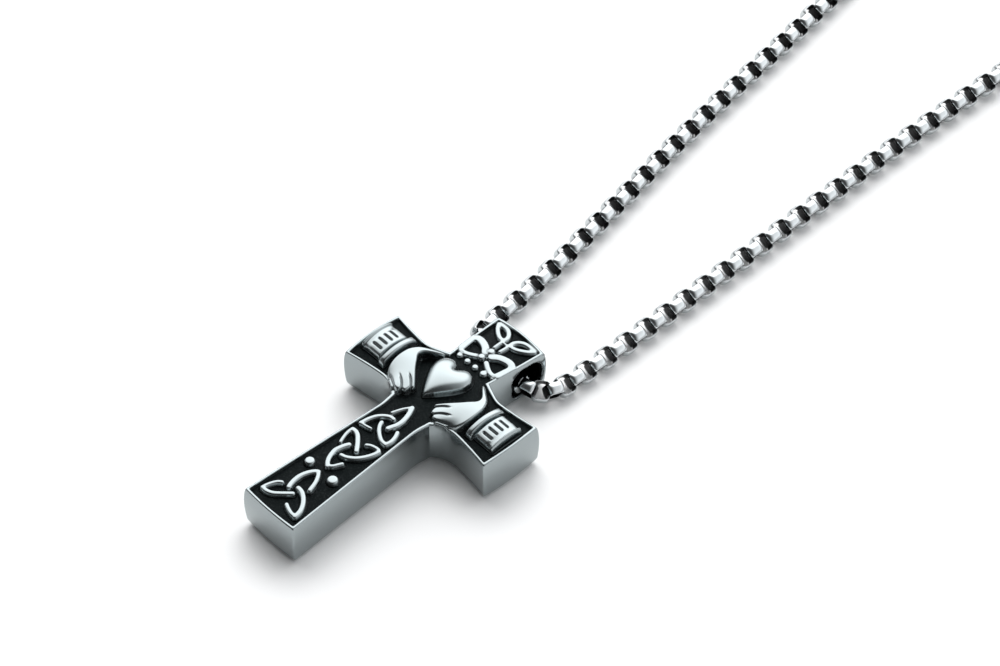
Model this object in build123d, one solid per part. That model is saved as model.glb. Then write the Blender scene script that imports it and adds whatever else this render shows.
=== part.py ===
"""Celtic cross pendant on its chain, in millimetres.

The cross lies on its flat back. The origin is on that back, under the middle of the crossing,
+X runs towards the right-hand arm, +Y towards the head and the chain, and +Z out of the front.
"""
import os
from math import radians, sqrt, tan

from build123d import *

# Plan of the cross: the edge of its front face, from the middle of the crossing
foot_reach = 29.25
head_reach = 14.05
arm_reach = 13.2
foot_half = 4.55
waist_half = 3.3
waist_down = 7.4
neck_half = 3.6
neck_down = 5.3
head_half = 4.28
head_neck_half = 3.7
thumb_up = 4.95
arm_half = 4.55
arm_waist_reach = 6.7
arm_waist_half = 3.75
end_bulge = 0.25
finger_hollow = 0.3
arm_hollow = 0.08
head_swell = 0.05

# Side of the cross: walls that belly out, a crowned front and a recessed field
back_to_belly = 3.6
belly = 0.3
back_tuck = 0.35
back_rounding = 0.9
front_height = 7.2
stem_crown = 0.25
bar_crown = 0.25
rim_width = 0.42
field_depth = 0.45

# Hole through the head for the chain
bore_up = 11.15
bore_width = 5.0
bore_height = 5.2
bore_floor = 0.65
bore_corner = 1.8

# Raised work
band_width = 0.62
relief_lift = 0.1
relief_root = 0.2
bead_sink = 0.4

# Room past the solid that a beam, a wall or a column is cut from or cut by
wall_spare = 1.0
beam_spare = 2.0
column_top = 20.0

# Knots on the stem, tip and feet as distances below the crossing.
# Columns: tip, feet, half the width at the feet, height of the cross strand as a share
knot_table = [
    (5.2, 11.2, 2.4, 0.55),
    (19.0, 12.9, 2.5, 0.62),
    (21.1, 27.4, 3.1, 0.50),
]
knot_side_share = 0.38
stem_bead_down = 20.3
stem_bead_out = 2.2
stem_bead_radius = 0.8

# Heart
heart_half = 2.95
heart_lobe_up = 3.6
heart_notch_up = 2.6
heart_tip_down = 2.9
heart_height = 8.45
heart_dome_radius = 5.4
heart_dome_share = 0.15

# Hands
hand_height = 8.2
hand_dome_radius = 16.0
hand_dome_share = 0.83
hand_half = 4.75
wrist_reach = 7.6
wrist_half = 2.7
groove_width = 0.22
groove_depth = 0.35

# Outline of the right hand from the thumb round to the little finger, and the lines between
# its fingers: shares of wrist_reach across and of hand_half up
hand_outline = [
    (0.842, 0.695),
    (0.697, 0.853),
    (0.513, 1.0),
    (0.434, 0.905),
    (0.717, 0.421),
    (0.526, 0.063),
    (0.276, -0.368),
    (0.257, -0.526),
    (0.309, -0.716),
    (0.388, -0.874),
    (0.487, -0.926),
    (0.724, -0.789),
]
finger_grooves = [
    ((0.263, -0.463), (0.487, -0.211)),
    ((0.276, -0.632), (0.579, -0.411)),
    ((0.355, -0.8), (0.671, -0.621)),
]

# Bracelets and cuffs on the arms
bracelet_reach = 8.35
bracelet_width = 0.9
bracelet_height = 8.4
bracelet_radius = 3.9
bracelet_half = 3.0
cuff_inner_reach = 9.5
cuff_width = 2.7
cuff_height = 8.1
cuff_radius = 3.5
cuff_half = 2.5
cuff_lip_width = 0.4
cuff_lip_rise = 0.2
cuff_slot_in = 0.3
cuff_slot_width = 0.24
cuff_slot_length = 1.5
cuff_slot_pitch = 0.95
cuff_slots = 4

# Crown on the head
crown_bead_up = 5.8
crown_bead_pitch = 1.5
crown_bead_radius = 0.5
bow_half = 3.55
bow_corner_share = 0.93
bow_eye_share = 0.1
bow_low_up = 6.55
bow_high_up = 9.5
bow_high_swell = 0.3
bow_end_swell = 0.15
bow_low_swell = 0.25
bow_eye_up = 7.9
bow_eye_half = 0.45
bow_bead_radius = 0.6
bow_bead_gap = 0.25
sprig_out = 0.55
sprig_low_up = 9.8
sprig_high_up = 11.4
leaf_reach = 3.6
leaf_tip_up = 13.35
leaf_half = 0.75

# Chain, and the clasp at its far end
chain_diameter = 3.0
chain_gap = 0.2
clasp_length = 14.0
clasp_width = 6.4
clasp_thickness = 2.6
clasp_wall = 1.6
clasp_edge = 0.4
clasp_tip_diameter = 3.4
clasp_tip_length = 2.5
clasp_gap = 0.2
clasp_lead = 13.0

# Centre line of the chain, from the middle of the hole along each side: x, y and height.
# Both sides end at the clasp, and the last two points of each are set from its size.
bore_rest = bore_floor + chain_gap + chain_diameter / 2
floor_rest = chain_diameter / 2
right_route = [
    (0.0, 10.85, bore_rest),
    (4.5, 10.7, bore_rest),
    (6.4, 12.1, 1.95),
    (7.15, 14.6, floor_rest),
    (7.25, 18.0, floor_rest),
    (7.3, 25.0, floor_rest),
    (7.15, 38.5, floor_rest),
    (6.75, 60.0, floor_rest),
    (6.4, 85.0, floor_rest),
    (7.2, 112.0, floor_rest),
    (13.5, 142.0, floor_rest),
    (24.0, 172.5, floor_rest),
    (33.0, 203.0, floor_rest),
    (38.0, 233.0, floor_rest),
    (35.0, 258.0, floor_rest),
]
left_route = [
    (-4.7, 11.3, bore_rest),
    (-6.6, 12.6, 1.95),
    (-7.5, 14.9, floor_rest),
    (-7.85, 19.0, floor_rest),
    (-8.75, 27.0, floor_rest),
    (-11.6, 42.0, floor_rest),
    (-15.5, 62.0, floor_rest),
    (-18.7, 85.0, floor_rest),
    (-23.5, 113.0, floor_rest),
    (-32.0, 143.0, floor_rest),
    (-41.0, 173.0, floor_rest),
    (-47.0, 203.0, floor_rest),
    (-48.0, 232.0, floor_rest),
    (-41.0, 257.0, floor_rest),
]
clasp_x = -2.0
clasp_y = 276.0
arc_share = 0.45


def both_sides(shape):
    """A shape of the right-hand side together with its mirror image on the left."""
    return shape + mirror(shape, about=Plane.YZ)


def column(face, top=column_top):
    """A plan face as an upright column, from just under the field up to a level top."""
    foot = front_height - max(stem_crown, bar_crown) - field_depth - relief_root
    return extrude(Pos(0, 0, foot) * face, amount=top - foot)


def ribbon(path, width=band_width):
    """A band of constant width along a line in plan."""
    return trace(path, line_width=width)


def bowed(start, end, bow):
    """An arc between two plan points, whose middle lies bow to the right of the straight line."""
    start, end = Vector(*start), Vector(*end)
    right = (end - start).normalized().rotate(Axis.Z, -90)
    return ThreePointArc(start, (start + end) / 2 + right * bow, end)


def cross_plan(grow=0.0):
    """The front edge of the cross, or a line parallel to it that lies grow outside it."""
    foot = (foot_half + grow, -foot_reach - grow)
    waist = (waist_half + grow, -waist_down - grow)
    neck = (neck_half + grow, -neck_down - grow)
    under_arm = (arm_waist_reach, -arm_waist_half - grow)
    arm_tip = (arm_reach + grow, -arm_half - grow)
    arm_end = (arm_reach + end_bulge + grow, 0)
    arm_top = (arm_reach + grow, arm_half + grow)
    over_arm = (arm_waist_reach, arm_waist_half + grow)
    head_neck = (head_neck_half + grow, thumb_up + grow)
    head = (head_half + grow, head_reach + grow)
    foot_end = (0, -foot_reach - end_bulge - grow)
    head_end = (0, head_reach + end_bulge + grow)
    side = [
        Line(foot, waist),
        Line(waist, neck),
        bowed(neck, under_arm, -finger_hollow),
        bowed(under_arm, arm_tip, -arm_hollow),
        ThreePointArc(arm_tip, arm_end, arm_top),
        bowed(arm_top, over_arm, -arm_hollow),
        Line(over_arm, head_neck),
        bowed(head_neck, head, head_swell),
    ]
    other_side = [mirror(edge, about=Plane.YZ) for edge in side]
    ends = [
        ThreePointArc((-foot[0], foot[1]), foot_end, foot),
        ThreePointArc(head, head_end, (-head[0], head[1])),
    ]
    return make_face(Curve() + side + other_side + ends)


def crowned_beam(half_width, crown, reach):
    """A beam along Y whose top is arched across its width."""
    radius = (half_width**2 + crown**2) / (2 * crown)
    edge = half_width + beam_spare
    side_height = front_height - radius + sqrt(radius**2 - edge**2)
    low = -beam_spare
    sides = Polyline((edge, side_height), (edge, low), (-edge, low), (-edge, side_height))
    arch = ThreePointArc((-edge, side_height), (0, front_height), (edge, side_height))
    profile = Plane.XZ * make_face(Curve() + [sides, arch])
    return extrude(profile, amount=reach + beam_spare, both=True)


def front_crown():
    """Everything under the crowned front: the stem's beam and the crossbar's together."""
    stem = crowned_beam(foot_half, stem_crown, foot_reach)
    bar = crowned_beam(arm_half, bar_crown, arm_reach)
    return stem + bar.rotate(Axis.Z, 90)


def walls():
    """The cross's outer walls, widest at the belly and rounded at the back."""
    above = front_height + wall_spare
    slope = belly / (front_height - back_to_belly)
    sections = [
        cross_plan(belly - back_tuck),
        Pos(0, 0, back_to_belly) * cross_plan(belly),
        Pos(0, 0, above) * cross_plan(belly - slope * (above - back_to_belly)),
    ]
    body = loft(sections, ruled=True)
    return fillet(body.edges().group_by(Axis.Z)[0], radius=back_rounding)


def knot_plan(tip, feet, half, arch_share):
    """Three arcs that cross each other, from a tip on the centre line to two feet."""
    height = feet - tip
    middle = -(tip + feet) / 2
    arch_y = -feet + arch_share * height
    tip_point = (0, -tip)
    left_foot = (-half, -feet)
    right_foot = (half, -feet)
    side = knot_side_share * half
    arcs = [
        ThreePointArc(tip_point, (side, middle), left_foot),
        ThreePointArc(tip_point, (-side, middle), right_foot),
        ThreePointArc(left_foot, (0, arch_y), right_foot),
    ]
    plan = Sketch() + [ribbon(arc) for arc in arcs]
    for point in (tip_point, left_foot, right_foot):
        plan += Pos(*point) * Circle(band_width / 2)
    return plan


def bow_plan():
    """One loop of the crown's bow, on the right-hand side."""
    eye_out = bow_eye_share * bow_half
    corner_out = bow_corner_share * bow_half
    high_in = (eye_out, bow_eye_up + bow_eye_half)
    high_out = (corner_out, bow_high_up)
    low_out = (corner_out, bow_low_up)
    low_in = (eye_out, bow_eye_up - bow_eye_half)
    high = bowed(high_in, high_out, -bow_high_swell)
    end = bowed(high_out, low_out, -bow_end_swell)
    low = bowed(low_out, low_in, -bow_low_swell)
    plan = Sketch() + [ribbon(line) for line in (high, end, low)]
    for point in (high_out, low_out):
        plan += Pos(*point) * Circle(band_width / 2)
    return plan


def leaf_plan():
    """One pointed leaf loop and its stem, on the right-hand side."""
    root = Vector(sprig_out, sprig_high_up)
    tip = Vector(leaf_reach, leaf_tip_up)
    middle = (root + tip) / 2
    out = (tip - root).normalized().rotate(Axis.Z, 90) * leaf_half
    sides = [ThreePointArc(root, middle + out, tip), ThreePointArc(root, middle - out, tip)]
    stem = Line((sprig_out, sprig_low_up), root)
    plan = Sketch() + [ribbon(line) for line in sides + [stem]]
    for point in (root, tip):
        plan += Pos(point.X, point.Y) * Circle(band_width / 2)
    return plan


def heart_plan():
    """The heart's outline."""
    lobe = ThreePointArc((0, heart_notch_up), (0.5 * heart_half, heart_lobe_up),
                         (0.93 * heart_half, 0.75 * heart_lobe_up))
    shoulder = ThreePointArc(lobe @ 1, (heart_half, 0.5 * heart_lobe_up),
                             (0.93 * heart_half, 0.25 * heart_lobe_up))
    flank = ThreePointArc(shoulder @ 1, (0.55 * heart_half, -0.45 * heart_tip_down),
                          (0, -heart_tip_down))
    side = [lobe, shoulder, flank]
    return make_face(Curve() + side + [mirror(edge, about=Plane.YZ) for edge in side])


def heart():
    """The heart, swelling to its middle."""
    centre = (0, heart_dome_share * heart_lobe_up, heart_height - heart_dome_radius)
    return column(heart_plan()) & Pos(*centre) * Sphere(heart_dome_radius)


def hand_point(share):
    """A point of the right-hand hand from its shares of the hand's sizes."""
    return (share[0] * wrist_reach, share[1] * hand_half)


def hand():
    """The right-hand hand: thumb up to the crown, four fingers under the heart."""
    fingers = [hand_point(share) for share in hand_outline]
    outline = Polyline((wrist_reach, wrist_half), *fingers, (wrist_reach, -wrist_half), close=True)
    centre = (hand_dome_share * wrist_reach, 0, hand_height - hand_dome_radius)
    dome = Pos(*centre) * Sphere(hand_dome_radius)
    palm = column(make_face(outline)) & dome
    floor = Pos(0, 0, -groove_depth) * dome
    for start, end in finger_grooves:
        groove = Line(hand_point(start), hand_point(end))
        palm -= column(ribbon(groove, groove_width)) - floor
    return palm


def sleeve(inner, width, height, radius, half):
    """A stretch of rounded sleeve on the right-hand arm, from inner outwards by width."""
    round_bar = Pos(inner + width / 2, 0, height - radius) * Rot(0, 90, 0) * Cylinder(radius, width)
    middle = inner + width / 2
    return round_bar & column(Pos(middle, 0) * Rectangle(width, 2 * half))


def cuff():
    """The slotted cuff at the end of the right-hand arm, with its raised lip."""
    body = sleeve(cuff_inner_reach, cuff_width, cuff_height, cuff_radius, cuff_half)
    lip_in = cuff_inner_reach + cuff_width - cuff_lip_width
    lip_height = cuff_height + cuff_lip_rise
    lip = sleeve(lip_in, cuff_lip_width, lip_height, cuff_radius + cuff_lip_rise, cuff_half + cuff_lip_rise)
    slot_x = cuff_inner_reach + cuff_slot_in + cuff_slot_length / 2
    slot = Rectangle(cuff_slot_length, cuff_slot_width)
    for row in range(cuff_slots):
        slot_y = (row - (cuff_slots - 1) / 2) * cuff_slot_pitch
        slot_floor = cuff_height - cuff_radius + sqrt(cuff_radius**2 - slot_y**2) - groove_depth
        body -= Pos(slot_x, slot_y, slot_floor) * extrude(slot, amount=column_top - slot_floor)
    return body + lip


def crown_height(x):
    """Height of the stem's crowned front at a distance x from its middle."""
    radius = (foot_half**2 + stem_crown**2) / (2 * stem_crown)
    return front_height - radius + sqrt(radius**2 - x**2)


def bead(x, y, radius):
    """A bead that stands in the field, sunk a little below its widest part."""
    return Pos(x, y, crown_height(x) - field_depth + radius - bead_sink) * Sphere(radius)


def beads():
    """The stem's two beads, the crown's row of five and the two at the bow's eye."""
    row = [bead(step * crown_bead_pitch, crown_bead_up, crown_bead_radius) for step in range(-2, 3)]
    pair = [bead(side * stem_bead_out, -stem_bead_down, stem_bead_radius) for side in (-1, 1)]
    eye_out = bow_bead_radius + bow_bead_gap
    eye = [bead(0, bow_eye_up + side * eye_out, bow_bead_radius) for side in (-1, 1)]
    return row + pair + eye


def bore():
    """The rounded hole through the head, along X."""
    face = Plane.YZ * RectangleRounded(bore_width, bore_height, bore_corner)
    middle = (0, bore_up, bore_floor + bore_height / 2)
    return Pos(*middle) * extrude(face, amount=2 * head_half, both=True)


def raised_work():
    """Everything that stands on the recessed field."""
    relief_top = front_height + relief_lift
    bands = [knot_plan(*row) for row in knot_table]
    bands += [both_sides(bow_plan()), both_sides(leaf_plan())]
    bracelet_in = bracelet_reach - bracelet_width / 2
    bracelet = sleeve(bracelet_in, bracelet_width, bracelet_height, bracelet_radius, bracelet_half)
    pieces = [column(band, relief_top) for band in bands]
    pieces += [both_sides(piece) for piece in (hand(), bracelet, cuff())]
    return pieces + [heart()] + beads()


def cross():
    """The whole casting: walls, crowned front, recessed field and raised work."""
    crown = front_crown()
    body = walls() & crown
    body -= column(cross_plan(-rim_width)) - Pos(0, 0, -field_depth) * crown
    return body + raised_work() - bore()


def chain_points():
    """The chain's centre line from one end of the clasp, through the cross, to its other end."""
    end = clasp_length / 2 + clasp_gap
    right_ends = [(clasp_x + reach, clasp_y, floor_rest) for reach in (end + clasp_lead, end)]
    left_ends = [(clasp_x - reach, clasp_y, floor_rest) for reach in (end, end + clasp_lead)]
    points = left_ends + left_route[::-1] + right_route + right_ends
    return [Vector(*point) for point in points]


def corner_radii(points):
    """The radius of each corner's arc, from the shorter of its two runs and its turn."""
    radii = []
    for before, corner, after in zip(points, points[1:], points[2:]):
        into, out = corner - before, after - corner
        half_turn = radians(into.get_angle(out)) / 2
        radii.append(arc_share * min(into.length, out.length) / tan(half_turn))
    return radii


def chain():
    """The chain as a round tube along straight runs joined by tangent arcs."""
    points = chain_points()
    radii = corner_radii(points)
    path = FilletPolyline(*points, radius=radii)
    tube = sweep(Plane(origin=path @ 0, z_dir=path % 0) * Circle(chain_diameter / 2), path=path)
    runs = [(b - a).length for a, b in zip(points, points[1:])]
    full_volume = Circle(chain_diameter / 2).area * path.length
    print("chain length", round(path.length, 1), "volume share", round(tube.volume / full_volume, 4))
    print("corner radii", [round(radius, 1) for radius in radii])
    print("runs", [round(run, 1) for run in runs])
    return tube


def clasp():
    """The clasp: a long eye with a tip at each end where the chain's ends meet it."""
    ring_length = clasp_length - 2 * clasp_tip_length
    outer = SlotOverall(ring_length, clasp_width)
    inner = SlotOverall(ring_length - 2 * clasp_wall, clasp_width - 2 * clasp_wall)
    ring = extrude(outer - inner, amount=clasp_thickness / 2, both=True)
    rims = ring.edges().filter_by(GeomType.CIRCLE) + ring.edges().filter_by(Axis.X)
    ring = chamfer(rims, clasp_edge)
    tip_middle = clasp_length / 2 - (clasp_tip_length + clasp_wall / 2) / 2
    tip = Rot(0, 90, 0) * Cylinder(clasp_tip_diameter / 2, clasp_tip_length + clasp_wall / 2)
    whole = ring + Pos(tip_middle, 0, 0) * tip + Pos(-tip_middle, 0, 0) * tip
    return Pos(clasp_x, clasp_y, clasp_tip_diameter / 2) * whole


nodes = {"cross": cross(), "chain": chain(), "clasp": clasp()}
os.makedirs("parts", exist_ok=True)
for name, shape in nodes.items():
    shape.label = name
    export_step(shape, f"parts/{name}.step")
    box = shape.bounding_box()
    print(name, "solids", len(shape.solids()), "volume", round(shape.volume, 1), "box", box.min, box.max)
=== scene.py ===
"""Looks of the celtic cross pendant and its round box chain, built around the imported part.

Shapes are worked out in millimetres in the part's own frame and scaled when a mesh is made.
"""
import math

import bpy
import numpy as np
from mathutils import Matrix, Vector
from mathutils.geometry import delaunay_2d_cdt


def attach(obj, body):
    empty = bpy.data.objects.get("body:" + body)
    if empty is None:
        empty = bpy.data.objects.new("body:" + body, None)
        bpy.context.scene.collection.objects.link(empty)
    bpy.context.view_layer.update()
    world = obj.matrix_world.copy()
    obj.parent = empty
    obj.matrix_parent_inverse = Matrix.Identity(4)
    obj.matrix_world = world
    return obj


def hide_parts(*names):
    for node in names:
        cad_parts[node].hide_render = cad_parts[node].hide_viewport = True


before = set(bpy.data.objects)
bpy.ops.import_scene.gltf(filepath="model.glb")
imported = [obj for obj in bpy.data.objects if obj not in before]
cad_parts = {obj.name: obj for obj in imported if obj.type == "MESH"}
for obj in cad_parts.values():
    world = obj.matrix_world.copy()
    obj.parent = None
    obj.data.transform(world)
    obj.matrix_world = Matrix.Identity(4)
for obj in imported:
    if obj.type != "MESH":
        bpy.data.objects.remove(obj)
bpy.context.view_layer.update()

MM = 0.001

# Plan of the cross: reaches from the middle, and half widths. The arms are 0.05 to 0.07 mm wider
# to each side than the part's and sit 0.1 mm lower
foot_reach = 29.25
head_reach = 14.05
arm_reach = 13.2
foot_half = 4.55
waist_half = 3.3
waist_down = 7.4
neck_half = 3.6
neck_down = 5.3
head_half = 4.28
head_neck_half = 3.7
thumb_up = 4.95
arm_middle = -0.1
arm_half = 4.6
arm_waist_reach = 6.7
arm_waist_half = 3.82
end_bulge = 0.25
finger_hollow = 0.3
arm_hollow = 0.08
head_swell = 0.05

# Side of the cross. The walls belly out 0.005 mm less than the part's
belly = 0.295
belly_height = 4.3
wall_round_up, wall_round_down = 3.0, 4.2
edge_out = 0.22
edge_drop = 0.3
edge_inset = 0.12
rim_inset = 0.31
rim_slope_out, rim_slope_in = 0.06, 0.14
field_inset = 0.6
field_depth = 0.45
back_round_height = 1.35
back_flat_inset = 0.95
back_last_step = 0.15

# Crown of the front: its height, how far it falls to each end, and how round it is across
crest_height = 7.25
foot_fall = 0.2
foot_fall_power = 2.2
head_fall = 0.5
arm_fall = 0.15
stem_round = 0.12
head_round_more = 0.23
head_round_from, head_round_full = 3.0, 9.0
arm_round = 0.2
crown_blend = 0.06

# Hole for the chain
bore_up = 11.15
bore_width = 5.0
bore_height = 5.2
bore_floor = 0.65
bore_corner = 1.8
bore_flare = 0.28

# Fineness of the cross's mesh: the grid of the front, the outline, and the rows round the sides
grid_step = 0.08
grid_margin = 1.5
outline_step = 0.13
row_insets = (field_inset, 0.5, 0.44, 0.37, rim_inset, 0.27, 0.22, 0.17, edge_inset)
edge_turns = (15, 32, 50, 70)
wall_row_count = 9
back_turns = (14, 28, 42, 56, 70, 84, 90)
bore_corner_points = 14
mouth_turns = (0, 22, 45, 68, 90)
tube_shares = (0.9, 0.6, 0.2, -0.2, -0.6, -0.9)

# Spread of the rounding on the outline's corners, and how far it holds fully and ends
tight_spread, tight_full, tight_none = 0.13, 0.6, 1.1
gentle_spread, gentle_full, gentle_none = 0.55, 1.0, 1.7


def smooth(low, high, value):
    """Smooth step from 0 at low to 1 at high."""
    share = np.clip((value - low) / (high - low), 0.0, 1.0)
    return share * share * (3.0 - 2.0 * share)


def unit(vector):
    """A vector's direction."""
    return vector / np.linalg.norm(vector)


def arc_points(start, middle, end, count):
    """Points of the arc from start through middle to end, without the end."""
    (ax, ay), (bx, by), (cx, cy) = start, middle, end
    twice = 2 * (ax * (by - cy) + bx * (cy - ay) + cx * (ay - by))
    a2, b2, c2 = ax**2 + ay**2, bx**2 + by**2, cx**2 + cy**2
    ux = (a2 * (by - cy) + b2 * (cy - ay) + c2 * (ay - by)) / twice
    uy = (a2 * (cx - bx) + b2 * (ax - cx) + c2 * (bx - ax)) / twice
    radius = math.hypot(ax - ux, ay - uy)
    first = math.atan2(ay - uy, ax - ux)
    last = math.atan2(cy - uy, cx - ux)
    turn = (last - first + math.pi) % (2 * math.pi) - math.pi
    angles = first + turn * np.arange(count) / count
    return np.column_stack([ux + radius * np.cos(angles), uy + radius * np.sin(angles)])


def bowed(start, end, bow, count):
    """An arc between two points whose middle lies bow to the right of the straight line."""
    start, end = np.array(start), np.array(end)
    along = unit(end - start)
    middle = (start + end) / 2 + np.array([along[1], -along[0]]) * bow
    return arc_points(start, middle, end, count)


def straight(start, end, count):
    """Points of a straight line, without its end."""
    share = np.arange(count)[:, None] / count
    return np.array(start) * (1 - share) + np.array(end) * share


def outline_sections(grow):
    """The right-hand side of the cross from foot to head, as (start, end, bow) rows."""
    corners = [
        (foot_half + grow, -foot_reach - grow),
        (waist_half + grow, -waist_down - grow),
        (neck_half + grow, -neck_down - grow),
        (arm_waist_reach, arm_middle - arm_waist_half - grow),
        (arm_reach + grow, arm_middle - arm_half - grow),
        (arm_reach + grow, arm_middle + arm_half + grow),
        (arm_waist_reach, arm_middle + arm_waist_half + grow),
        (head_neck_half + grow, thumb_up + grow),
        (head_half + grow, head_reach + grow),
    ]
    bows = (0.0, 0.0, -finger_hollow, -arm_hollow, end_bulge, -arm_hollow, 0.0, head_swell)
    return list(zip(corners[:-1], corners[1:], bows))


# How many points each stretch of the outline gets
SIDE_COUNTS = [max(3, round(math.dist(a, b) / outline_step)) for a, b, bow in outline_sections(0.0)]
SIDE_TOTAL = sum(SIDE_COUNTS)
HEAD_COUNT = round(2 * head_half / outline_step)
FOOT_COUNT = round(2 * foot_half / outline_step)
LOOP = 2 * SIDE_TOTAL + HEAD_COUNT + FOOT_COUNT


def corner_indices():
    """Indices of the outward corners, the inward creases, the gentle bends, and the head's walls."""
    foot, waist, neck, under, tip, top, over, head_neck, head = np.cumsum([0] + SIDE_COUNTS)
    left_foot = 2 * SIDE_TOTAL + HEAD_COUNT

    def both_sides(*corners):
        return list(corners) + [left_foot - corner for corner in corners]

    outward = both_sides(foot, tip, top, head)
    inward = both_sides(neck, head_neck)
    gentle = both_sides(waist, under, over)
    return outward, inward, gentle, ((head_neck, head), (left_foot - head, left_foot - head_neck))


OUTWARD, INWARD, GENTLE, HEAD_WALLS = corner_indices()


def corner_weights(corners, full, none):
    """1 within full of the given corners, 0 beyond none of them."""
    index, weight = np.arange(LOOP), np.zeros(LOOP)
    for corner in corners:
        away = np.abs((index - corner + LOOP // 2) % LOOP - LOOP // 2) * outline_step
        weight = np.maximum(weight, 1 - smooth(full, none, away))
    return weight[:, None]


def soften_loop(loop, weight, spread):
    """The loop with its corners rounded off where weight says so."""
    half = int(3 * spread / outline_step)
    share = np.exp(-0.5 * (np.arange(-half, half + 1) * outline_step / spread) ** 2)
    share = share / share.sum()
    soft = sum(w * np.roll(loop, k - half, axis=0) for k, w in enumerate(share))
    return loop + weight * (soft - loop)


TIGHT_WEIGHT = corner_weights(OUTWARD, tight_full, tight_none)
GENTLE_WEIGHT = corner_weights(GENTLE, gentle_full, gentle_none)


def outline(grow):
    """The closed outline of the cross, grow outside its front edge, against the clock."""
    sections = outline_sections(grow)
    side = []
    for (start, end, bow), count in zip(sections, SIDE_COUNTS):
        side.append(bowed(start, end, bow, count) if bow else straight(start, end, count))
    right = np.vstack(side)
    foot, head = sections[0][0], sections[-1][1]
    left = np.vstack([right, [head]])[::-1] * (-1, 1)
    head_end = arc_points(head, (0, head[1] + end_bulge), (-head[0], head[1]), HEAD_COUNT)
    foot_end = arc_points((-foot[0], foot[1]), (0, foot[1] - end_bulge), foot, FOOT_COUNT)
    loop = np.vstack([right, head_end, left[:-1], foot_end])
    loop = soften_loop(loop, TIGHT_WEIGHT, tight_spread)
    return soften_loop(loop, GENTLE_WEIGHT, gentle_spread)


def crown(x, y):
    """Height of the crowned front, which also falls a little towards every end."""
    to_foot = foot_fall * (np.abs(y) / foot_reach) ** foot_fall_power
    to_head = head_fall * (np.abs(y) / head_reach) ** 2
    across = stem_round + head_round_more * smooth(head_round_from, head_round_full, y)
    stem = crest_height - np.where(y < 0, to_foot, to_head) - across * (x / foot_half) ** 2
    bar = crest_height - arm_fall * (np.abs(x) / arm_reach) ** 2 - arm_round * (y / arm_half) ** 2
    return 0.5 * (stem + bar + np.sqrt((stem - bar) ** 2 + crown_blend**2)) - 0.5 * crown_blend


# Sculpture of the front, as heights above the field on a square grid, and how dark it is there:
# blackening in lines and slots, painted shade on bead walls, and both on the walls of heart and hands
def grid_cells(reach):
    """How many steps of the grid go past a reach of the cross."""
    return math.ceil((reach + grid_margin) / grid_step)


grid_x = np.arange(-grid_cells(arm_reach), grid_cells(arm_reach) + 1) * grid_step
grid_y = np.arange(-grid_cells(foot_reach), grid_cells(head_reach) + 1) * grid_step
GX, GY = np.meshgrid(grid_x, grid_y, indexing="ij")
relief = np.zeros_like(GX)
shade = np.zeros_like(GX)
window_margin = 0.2


def window(points, extra=0.0):
    """The part of the grid round some points."""
    low = np.min(points, axis=0) - extra - window_margin
    high = np.max(points, axis=0) + extra + window_margin
    i0, i1 = np.searchsorted(grid_x, (low[0], high[0]))
    j0, j1 = np.searchsorted(grid_y, (low[1], high[1]))
    return slice(max(i0, 0), i1), slice(max(j0, 0), j1)


def curve_through(points, steps=8, closed=False):
    """A smooth line through chosen points."""
    points = np.array(points, float)
    if closed:
        ring = np.vstack([points[-1:], points, points[:2]])
    else:
        ring = np.vstack([2 * points[:1] - points[1:2], points, 2 * points[-1:] - points[-2:-1]])
    out = []
    for k in range(len(ring) - 3):
        p0, p1, p2, p3 = ring[k:k + 4]
        for t in np.arange(steps) / steps:
            out.append(0.5 * (2 * p1 + (p2 - p0) * t + (2 * p0 - 5 * p1 + 4 * p2 - p3) * t**2
                              + (3 * p1 - p0 - 3 * p2 + p3) * t**3))
    if not closed:
        out.append(ring[-2])
    return np.array(out)


def distance_to(line, x, y, closed=False):
    """Distance of each point to a line, how far along it its nearest point is, and its length."""
    line = np.vstack([line, line[:1]]) if closed else line
    nearest = np.full(x.shape, np.inf)
    along = np.zeros(x.shape)
    run = 0.0
    for a, b in zip(line[:-1], line[1:]):
        ab = b - a
        length = float(np.hypot(*ab)) + 1e-12
        t = np.clip(((x - a[0]) * ab[0] + (y - a[1]) * ab[1]) / length**2, 0, 1)
        gap = (x - a[0] - t * ab[0]) ** 2 + (y - a[1] - t * ab[1]) ** 2
        closer = gap < nearest
        nearest = np.where(closer, gap, nearest)
        along = np.where(closer, run + t * length, along)
        run += length
    return np.sqrt(nearest), along, run


def crossings(line, x):
    """Where a closed line crosses the upright line at x."""
    ax, ay = line.T
    bx, by = np.roll(line, -1, axis=0).T
    hit = (ax <= x) != (bx <= x)
    return ay[hit] + (x - ax[hit]) * (by[hit] - ay[hit]) / (bx[hit] - ax[hit])


def inside(line, xs, ys):
    """Which points of a grid lie within a closed line."""
    return np.array([np.searchsorted(np.sort(crossings(line, x)), ys) % 2 == 1 for x in xs])


def in_loop(line):
    """A test of whether a point lies within a closed line."""
    return lambda x, y: np.count_nonzero(crossings(line, x) < y) % 2 == 1


def region(line):
    """The grid round a closed line: window, places, distances from the line, and what is inside."""
    where = window(line)
    x, y = GX[where], GY[where]
    return where, x, y, distance_to(line, x, y, closed=True)[0], inside(line, x[:, 0], y[0])


def raise_to(where, height):
    """Lifts the sculpture to a height above the field, where it isn't higher already."""
    relief[where] = np.maximum(relief[where], height)


def darken_to(where, dark):
    """Darkens the sculpture, where it isn't darker already."""
    shade[where] = np.maximum(shade[where], dark)


def bulge(offset, half, power=2):
    """1 at the middle of a hump and 0 from half away on. A higher power makes its top flatter."""
    return np.sqrt(np.clip(1 - np.abs(offset / half) ** power, 0, 1))


def round_edge(depth, edge):
    """0 at an outline and 1 from edge inside it on, with a round rise between."""
    return bulge(1 - np.clip(depth / edge, 0, 1), 1)


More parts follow.
